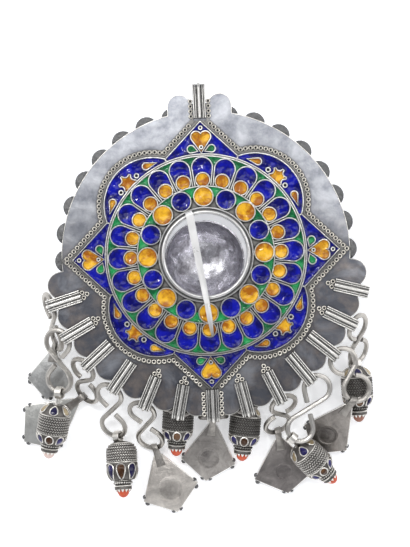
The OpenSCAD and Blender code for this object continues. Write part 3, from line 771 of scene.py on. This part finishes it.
def hookLine(span, count=30):
    r = hooks["loop"]
    a = acos(2 * r / span)
    stub = sqrt(span * span / 4 - r * r) - 2 * hooks["wire"] - hooks["stubGap"]
    sweep = 2 * pi - 2 * a
    turns = [-a - sweep * i / count for i in range(count + 1)]
    loop = [Vector((r * cos(t), r * sin(t), 0)) for t in turns]
    way = Vector((sin(a), cos(a), 0))
    half = [loop[0] + way * stub * k / 3 for k in (3, 2, 1)] + loop
    middle = Vector((span / 2, 0, 0))
    end = loop[-1]
    crossing = [end.lerp(middle, k / 3) for k in (1, 2)]
    far = [2 * middle - p for p in reversed(half + crossing)]
    return half + crossing + [middle] + far


def makeHooks():
    for number, row in hooks["table"].items():
        span = row[3]
        if span:
            place = hookPlace(number)
            line = [place @ p for p in hookLine(span)]
            name = "hook_%02d" % number
            look = "paleHook" if number == 10 else "hook"
            piece = makePiece(name + "_wire", wires([(line, False)], hooks["wire"], 2), [look])
            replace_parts(piece, name)
        else:
            name = "link_%02d" % number
            bm = wireRing(hooks["loop"], hooks["wire"], 40, 12)
            bm.transform(hookPlace(number))
            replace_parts(makePiece(name + "_wire", bm, ["link"]), name)


def seatOn(number, along):  # a point on a hook's second loop and the wire's way there
    place, span = hookPlace(number), hooks["table"][number][3]

    def loopPoint(turnBy):
        a = radians(turnBy)
        return place @ Vector((span + hooks["loop"] * cos(a), hooks["loop"] * sin(a), 0))

    return loopPoint(along), (loopPoint(along + 1) - loopPoint(along - 1)).normalized()


def heading(azimuth, dip):
    a, d = radians(azimuth), radians(dip)
    return Vector((cos(a) * cos(d), sin(a) * cos(d), -sin(d)))


def eyeAt(seat, way):
    eye = seat + straps["slack"] * way
    eye.z = max(eye.z, straps["inner"] + straps["thick"] + straps["clear"])
    return eye


# straps and kite plates
straps = {
    "inner": 2.4, "thick": 0.8, "wide": 3.4, "flare": 4.7, "tail": 9.4, "slack": 0.4, "clear": 0.43,
    "flareFrom": 4.5, "leanFrom": 5.0, "leanOver": 4.0, "rounding": 0.2,
    # bends of a tail: place along, lift off the plate; then the throat below the wire
    "bends": [(7.4, 0), (5.6, 0.05)], "throat": (3.4, 1.9),
}
kites = {
    "thick": 1.2, "apex": 3.2, "neck": 4.4, "sideAt": 0.68, "stud": 1.3, "bossBack": 1.6,
    "rounding": 0.42, "boss": [(0, -1.7), (4, -1.5), (6, -0.5)], "markWire": 0.22, "markSink": 0.1,
    # a stud's way back from the end and its side way; ways from a side corner, along and inward
    "endStud": (1.6, 1.8), "sideStuds": [(-1.8, 1.6), (1.6, 1.8)],
    # the bright and dark tones differ from kite to kite: painted light and shade on top of each kite's own
    # tarnish
    # number: place on the hook, heading, dip, roll, reach, half width, boss mark, bright, dark
    "table": {
        1: (-45, -102, 2.6, 9, 29.5, 12.2, 0, (0.635, 0.635, 0.626), (0.155, 0.155, 0.149)),
        3: (-38, -145, 1.3, 0, 38, 14.6, 0, (0.66, 0.66, 0.64), (0.34, 0.34, 0.32)),
        5: (10, -73.1, 1.5, 0, 35.3, 15.1, 6.3, (0.86, 0.81, 0.75), (0.30, 0.28, 0.26)),
        7: (0, -99, 10, 0, 34.4, 14.4, 5.3, (0.50, 0.47, 0.44), (0.14, 0.13, 0.125)),
        9: (-15, -83, 2, 0, 32.5, 16.4, 4.3, (0.36, 0.335, 0.32), (0.10, 0.09, 0.09)),
        11: (-45, -124, 25.2, 0, 38, 13, 4.8, (0.42, 0.39, 0.36), (0.11, 0.10, 0.095)),
    },
}


def strapPart(tangent):  # a strip folded round the wire, its tails flat on both faces of the plate
    mid = straps["inner"] + straps["thick"] / 2
    cheek = kites["thick"] / 2 + straps["thick"] / 2
    tail = [(straps["tail"], cheek)] + [(x, cheek + lift) for x, lift in straps["bends"]]
    tail.append(straps["throat"])
    path = tail + arc((0, 0), mid, 50, 310, 13) + [(x, -z) for x, z in reversed(tail)]
    bm = bmesh.new()
    verts = [bm.verts.new((x, -0.5, z)) for x, z in path]
    edges = [bm.edges.new(pair) for pair in zip(verts, verts[1:])]
    raised = bmesh.ops.extrude_edge_only(bm, edges=edges)
    across = tangent if tangent.y > 0 else -tangent
    for v in raised["geom"]:
        if isinstance(v, bmesh.types.BMVert):
            v.co.y = 0.5
    for v in bm.verts:
        x, side = v.co.x, (1 if v.co.y > 0 else -1)
        flare = max(0.0, min(1.0, (x - straps["flareFrom"]) / (straps["tail"] - straps["flareFrom"])))
        half = (straps["wide"] + (straps["flare"] - straps["wide"]) * flare) / 2
        lean = max(0.0, min(1.0, (straps["leanFrom"] - x) / straps["leanOver"]))
        way = Vector((0, 1, 0)).lerp(across, lean).normalized()
        v.co = Vector((x, 0, v.co.z)) + side * half * way
    bmesh.ops.recalc_face_normals(bm, faces=bm.faces)
    bmesh.ops.solidify(bm, geom=bm.faces[:], thickness=straps["thick"])
    bmesh.ops.recalc_face_normals(bm, faces=bm.faces)
    rounded(bm, sharpEdges(bm), straps["rounding"])
    return bm


def kitePart(reach, half):  # its rounded edges take the fourth finish
    sideX = kites["sideAt"] * reach
    neck = kites["neck"] / 2
    bm = bmesh.new()
    corners = [(kites["apex"], -neck), (sideX, -half), (reach, 0), (sideX, half), (kites["apex"], neck)]
    face = bm.faces.new([bm.verts.new((x, y, -kites["thick"] / 2)) for x, y in corners])
    raised = bmesh.ops.extrude_face_region(bm, geom=[face])
    upper = [v for v in raised["geom"] if isinstance(v, bmesh.types.BMVert)]
    bmesh.ops.translate(bm, vec=(0, 0, kites["thick"]), verts=upper)
    bmesh.ops.recalc_face_normals(bm, faces=bm.faces)
    for edgeFace in rounded(bm, bm.edges[:], kites["rounding"], 3)["faces"]:
        edgeFace.material_index = 3
    return bm


def ballPart(radius):
    bm = bmesh.new()
    bmesh.ops.create_uvsphere(bm, u_segments=20, v_segments=12, radius=radius)
    return bm


def makeKites():
    for number, row in kites["table"].items():
        along, azimuth, dip, roll, reach, half, mark, bright, dark = row
        seat, tangent = seatOn(number, along)
        eye = eyeAt(seat, heading(azimuth, dip))
        turn = Matrix.Rotation(radians(azimuth), 4, "Z") @ Matrix.Rotation(radians(dip), 4, "Y")
        turn = turn @ Matrix.Rotation(radians(roll), 4, "X")
        place = Matrix.Translation(eye) @ turn
        sideX = kites["sideAt"] * reach
        bossAt = Vector((sideX - kites["bossBack"], 0, 0))
        look = "kite%d" % number
        # one copy of the kite finish per kite, its tones carrying painted light and shade
        finishes[look] = kiteFinish(look + "Silver", bright, dark, place @ bossAt, mark)
        bm = bmesh.new()
        take(bm, kitePart(reach, half))
        endX, endY = kites["endStud"]
        studs = [(reach - endX, endY)] + [(sideX + x, half - y) for x, y in kites["sideStuds"]]
        for s in (-1, 1):
            for x, y in studs:
                take(bm, ballPart(kites["stud"]), 1, Matrix.Translation((x, s * y, -kites["thick"] / 2)))
        if mark:
            face = bossAt + Vector((0, 0, kites["thick"] / 2 - kites["markSink"]))
            take(bm, wireRing(mark, kites["markWire"], 48, 6), 0, Matrix.Translation(face))
        take(bm, spun(kites["boss"], 32), 1, Matrix.Translation(bossAt))
        take(bm, strapPart(turn.inverted().to_3x3() @ tangent), 2)
        bm.transform(place)
        looks = [look, "knob", "strap", "worn"]
        piece = makePiece("kite_%02d_plate" % number, bm, looks, sharp=35)
        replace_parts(piece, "kite_%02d" % number)


# bead drops
beads = {
    "skin": 7.7, "topRadius": 1.4, "bandFrom": 5.5, "bandTo": 14.5, "coneTo": 20,
    "footRadius": 4.0, "bezel": [(4.0, 22.3), (4.4, 23.2), (4.35, 24.4)], "bezelTo": 24.4,
    "tipTo": 28.5, "coral": 3.2, "neckRadius": (1.5, 1.15),
    # rows of twisted wire: their number, distances, beads in a row, lean and size of a bead
    "rows": 7, "firstRow": 0.6, "rowPitch": 1.3, "granules": 38, "twist": 38, "granule": (0.5, 0.78, 0.45),
    # the row on the neck: radius, height, number, lean, size
    "neckRow": (4.35, 21.1, 24, 40, (0.8, 0.75, 0.62)),
    # bright rings: way from the band's start and sink, then the others as radius, wire, height
    "bandRings": [(-0.35, 0.1), (9.25, 0.05)], "bandWire": 0.36,
    "rings": [(4.45, 0.36, 22.6), (1.7, 0.35, 0.25), (4.2, 0.34, 20.1)],
    # pear cells: half width, round end, point
    "domeCells": (2.3, 78, 24), "coneCells": (2.25, 7, 80), "longCells": (2.5, 11.5, 19.5), "cellWire": 0.34,
    # teeth round the coral: number, radius, height, lean, size
    "teeth": (12, 3.75, 25.0, -28, (0.34, 0.95, 1.1)),
    # number: place on the hook, top of the body, heading, dip, coral and band finishes, band's start
    "table": {
        2: (0, (-79.4, -72.4, 13.2), -102.1, 4, "pinkCoral", "bead", 5.5),
        4: (15, (-48.2, -93.7, 6.9), -88.5, -12, "coral", "bead", 1.6),
        6: (0, (-17.2, -74, 8.6), -95.7, 0, "coral", "darkBead", 5.5),
        8: (0, (17.4, -78.2, 8.6), -97.9, 0, "coral", "darkBead", 5.5),
        10: (-20, (42.2, -98.5, 13.6), -47.6, 9, "coral", "bead", 5.5),
        12: (-30, (74.2, -60.7, 8.4), -88.8, 0, "brownCoral", "darkBead", 5.5),
    },
}


def domeAt(a):  # a goes from 0 at the top to 90 at the band
    a = radians(a)
    return (beads["topRadius"] + (beads["skin"] - beads["topRadius"]) * sin(a),
            beads["bandFrom"] * (1 - cos(a)))


def coneAt(a):  # a goes from 0 at the band to 90 at the neck
    a = radians(a)
    return (beads["footRadius"] + (beads["skin"] - beads["footRadius"]) * cos(a),
            beads["bandTo"] + (beads["coneTo"] - beads["bandTo"]) * sin(a))


def skinAt(height):  # radius and height anywhere on the body
    if height < beads["bandFrom"]:
        return domeAt(degrees(acos(1 - height / beads["bandFrom"])))[0], height
    if height > beads["bandTo"]:
        rise = (height - beads["bandTo"]) / (beads["coneTo"] - beads["bandTo"])
        return coneAt(degrees(asin(rise)))[0], height
    return beads["skin"], height


def beadBody():
    profile = [(0, 0)] + [domeAt(a) for a in range(0, 91, 9)] + [coneAt(a) for a in range(0, 91, 9)]
    return spun(profile + beads["bezel"] + [(0, beads["bezelTo"])], 44)


def pearPoint(turnBy, t, grow, surface, wide, near, far, lift):
    # t goes round the pear; its round end is at near, its point at far
    along = 0.5 + 0.5 * cos(t)
    width = wide * sin(t) * (1.18 - 0.75 * along) * grow
    middle = (near + far) / 2
    a = middle + (near + (far - near) * along - middle) * grow
    r, h = surface(a)
    q = turnBy + width / max(r, 1)
    return Vector(((r + lift) * cos(q), (r + lift) * sin(q), h))


def pearParts(turnBy, surface, wide, near, far):
    rim = [pearPoint(turnBy, 2 * pi * i / 20, 1.0, surface, wide, near, far, 0.18) for i in range(20)]
    bm = bmesh.new()
    bmesh.ops.create_circle(bm, cap_ends=True, cap_tris=True, segments=20, radius=1)
    bmesh.ops.subdivide_edges(bm, edges=bm.edges[:], cuts=1, use_grid_fill=True)
    for v in bm.verts:
        grow = v.co.xy.length
        t = atan2(v.co.y, v.co.x)
        v.co = pearPoint(turnBy, t, grow, surface, wide, near, far, 0.12 + 0.5 * (1 - grow ** 2))
    bmesh.ops.recalc_face_normals(bm, faces=bm.faces)
    return rim, bm


def slanted(radius, height, turnBy, lean, size):
    place = Matrix.Rotation(radians(turnBy), 4, "Z") @ Matrix.Translation((radius, 0, height))
    return place @ Matrix.Rotation(radians(lean), 4, "X") @ Matrix.Diagonal((*size, 1))


def granulePart():
    bm = bmesh.new()
    bmesh.ops.create_icosphere(bm, subdivisions=1, radius=1)
    return bm


def addRows(bm, start):  # twisted wire round the band and the neck
    moves = []
    for row in range(beads["rows"]):
        z = start + beads["firstRow"] + beads["rowPitch"] * row
        lean = beads["twist"] if row % 2 else -beads["twist"]
        for i in range(beads["granules"]):
            turnBy = 360 / beads["granules"] * (i + 0.5 * (row % 2))
            moves.append(slanted(skinAt(z)[0] + 0.02, z, turnBy, lean, beads["granule"]))
    radius, z, count, lean, size = beads["neckRow"]
    moves += [slanted(radius, z, 360 / count * i, lean, size) for i in range(count)]
    scatter(bm, granulePart(), moves, 1)
    rings = []
    for way, sink in beads["bandRings"]:
        rings.append((skinAt(start + way)[0] - sink, beads["bandWire"], start + way))
    for radius, wire, height in rings + beads["rings"]:
        take(bm, wireRing(radius, wire, 44, 8, height), 2)


def addCells(bm, high):  # a high band leaves no cells above it and long ones below
    rims = []
    for k in range(0 if high else 6):
        rim, cell = pearParts(pi / 2 + k * pi / 3, domeAt, *beads["domeCells"])
        rims.append((rim, True))
        take(bm, cell, 3 if k % 2 == 0 else 5)
    surface, size = (skinAt, beads["longCells"]) if high else (coneAt, beads["coneCells"])
    for k in range(8):
        rim, cell = pearParts(pi / 2 + k * pi / 4, surface, *size)
        rims.append((rim, True))
        take(bm, cell, 3 if k % 2 else 4)
    take(bm, wires(rims, beads["cellWire"]), 2)


def addTeeth(bm):
    count, radius, height, lean, size = beads["teeth"]
    teeth = []
    for i in range(count):
        place = Matrix.Rotation(radians(360 / count * i), 4, "Z") @ Matrix.Translation((radius, 0, height))
        teeth.append(place @ Matrix.Rotation(radians(lean), 4, "Y") @ Matrix.Diagonal((*size, 1)))
    tooth = bmesh.new()
    bmesh.ops.create_cone(tooth, cap_ends=True, segments=8, radius1=1, radius2=0.1, depth=1.6)
    scatter(bm, tooth, teeth, 2)


def addEye(bm, eye, tangent, end):  # the eye on the hook's wire and the neck down to the body
    inner, outer, wide = straps["inner"], straps["inner"] + straps["thick"], straps["wide"] / 2
    rim = straps["rounding"]
    profile = [(inner, -wide + rim), (inner + rim, -wide), (outer - rim, -wide), (outer, -wide + rim),
               (outer, wide - rim), (outer - rim, wide), (inner + rim, wide), (inner, wide - rim)]
    eyeTurn = tangent.to_track_quat("Z", "Y").to_matrix().to_4x4()
    take(bm, spun(profile, 32, closed=True), 2, Matrix.Translation(eye) @ eyeTurn)
    toward = (end - eye).normalized()
    foot = inner + straps["thick"] / 3
    length = (end - eye).length - foot
    thick, thin = beads["neckRadius"]
    neck = [(0, 0), (thick, 0.1), (thin, length * 0.4), (thin, length * 0.8), (thick, length), (0, length)]
    neckTurn = toward.to_track_quat("Z", "Y").to_matrix().to_4x4()
    take(bm, spun(neck, 20), 2, Matrix.Translation(eye + foot * toward) @ neckTurn)


def coralPart():
    height = beads["tipTo"] - beads["bezelTo"]
    profile = [(0, beads["bezelTo"])]
    for a in range(0, 91, 9):
        profile.append((beads["coral"] * cos(radians(a)), beads["bezelTo"] + height * sin(radians(a))))
    return spun(profile, 28)


def makeBeads():
    for number, (along, top, azimuth, dip, coralLook, band, start) in beads["table"].items():
        top, axis = Vector(top), heading(azimuth, dip)
        seat, tangent = seatOn(number, along)
        eye = eyeAt(seat, (top - seat).normalized())
        upright = Matrix.Translation(top) @ axis.to_track_quat("Z", "Y").to_matrix().to_4x4()
        bm = bmesh.new()
        take(bm, beadBody(), 6)
        addRows(bm, start)
        addCells(bm, start < 3)
        addTeeth(bm)
        bm.transform(upright)
        addEye(bm, eye, tangent, top + axis)
        looks = [band, band, "beadTrim", "violet", "brown", "ivory", "beadGround"]
        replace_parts(makePiece("bead_%02d_body" % number, bm, looks), "bead_%02d" % number)
        stone = coralPart()
        stone.transform(upright)
        piece = makePiece("coral_%02d_stone" % number, stone, [coralLook])
        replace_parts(piece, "coral_%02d" % number)


# ring, boss and pin with its flattened point
tip = {
    "from": (-0.54, -24.07, 27.0), "heading": -82.8, "dip": 4, "length": 17.1, "rounding": 0.2,
    # share of the length, half width, half thickness
    "sections": [(-0.02, 0.5, 0.3), (0, 1.4, 0.75), (0.5, 1.3, 0.75), (0.96, 0.62, 0.45), (1, 0.15, 0.12)],
}


def tipPart():
    bm = bmesh.new()
    rings = []
    for share, wide, thick in tip["sections"]:
        place = Matrix.Translation((share * tip["length"], 0, 0)) @ Matrix.Rotation(pi / 2, 4, "Y")
        place = place @ Matrix.Diagonal((thick, wide, 1, 1))
        bmesh.ops.create_circle(bm, segments=20, radius=1, matrix=place)
        rings.append(bm.edges[-20:])
    for first, second in zip(rings, rings[1:]):
        bmesh.ops.bridge_loops(bm, edges=first + second)
    bmesh.ops.holes_fill(bm, edges=rings[0] + rings[-1], sides=0)
    bmesh.ops.recalc_face_normals(bm, faces=bm.faces)
    turn = Matrix.Rotation(radians(tip["heading"]), 4, "Z") @ Matrix.Rotation(radians(tip["dip"]), 4, "Y")
    bm.transform(Matrix.Translation(tip["from"]) @ turn)
    return bm


def makeCentre():
    dress("pin_ring", "ring")
    dress("centre_boss", "bowl")
    bar = nodeShape("pin")
    bmesh.ops.dissolve_limit(bar, angle_limit=radians(1), verts=bar.verts, edges=bar.edges)
    rounded(bar, sharpEdges(bar), tip["rounding"])
    take(bar, tipPart())
    piece = makePiece("pin_bar", bar, ["pin"], body="pin", sharp=15)
    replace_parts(piece, "pin")


def makeFloor():
    bm = bmesh.new()
    bmesh.ops.create_grid(bm, x_segments=1, y_segments=1, size=studio["floorHalf"])
    bm.transform(toMetres)
    mesh = bpy.data.meshes.new("floor")
    bm.to_mesh(mesh)
    bm.free()
    mesh.materials.append(floorFinish().material)
    floor = bpy.data.objects.new("floor", mesh)
    bpy.context.scene.collection.objects.link(floor)


setUpStudio()
makeFloor()
print("studio ready")
makePlate()
makeStar()
print("star plaque ready")
for nodeName, finishName in (("enamel_blue", "blue"), ("enamel_green", "green"), ("enamel_amber", "amber")):
    poolEnamel(nodeName, finishName)
print("enamel ready")
makeBails()
makeHooks()
print("bails and hooks ready")
makeKites()
makeBeads()
print("pendants ready")
makeCentre()
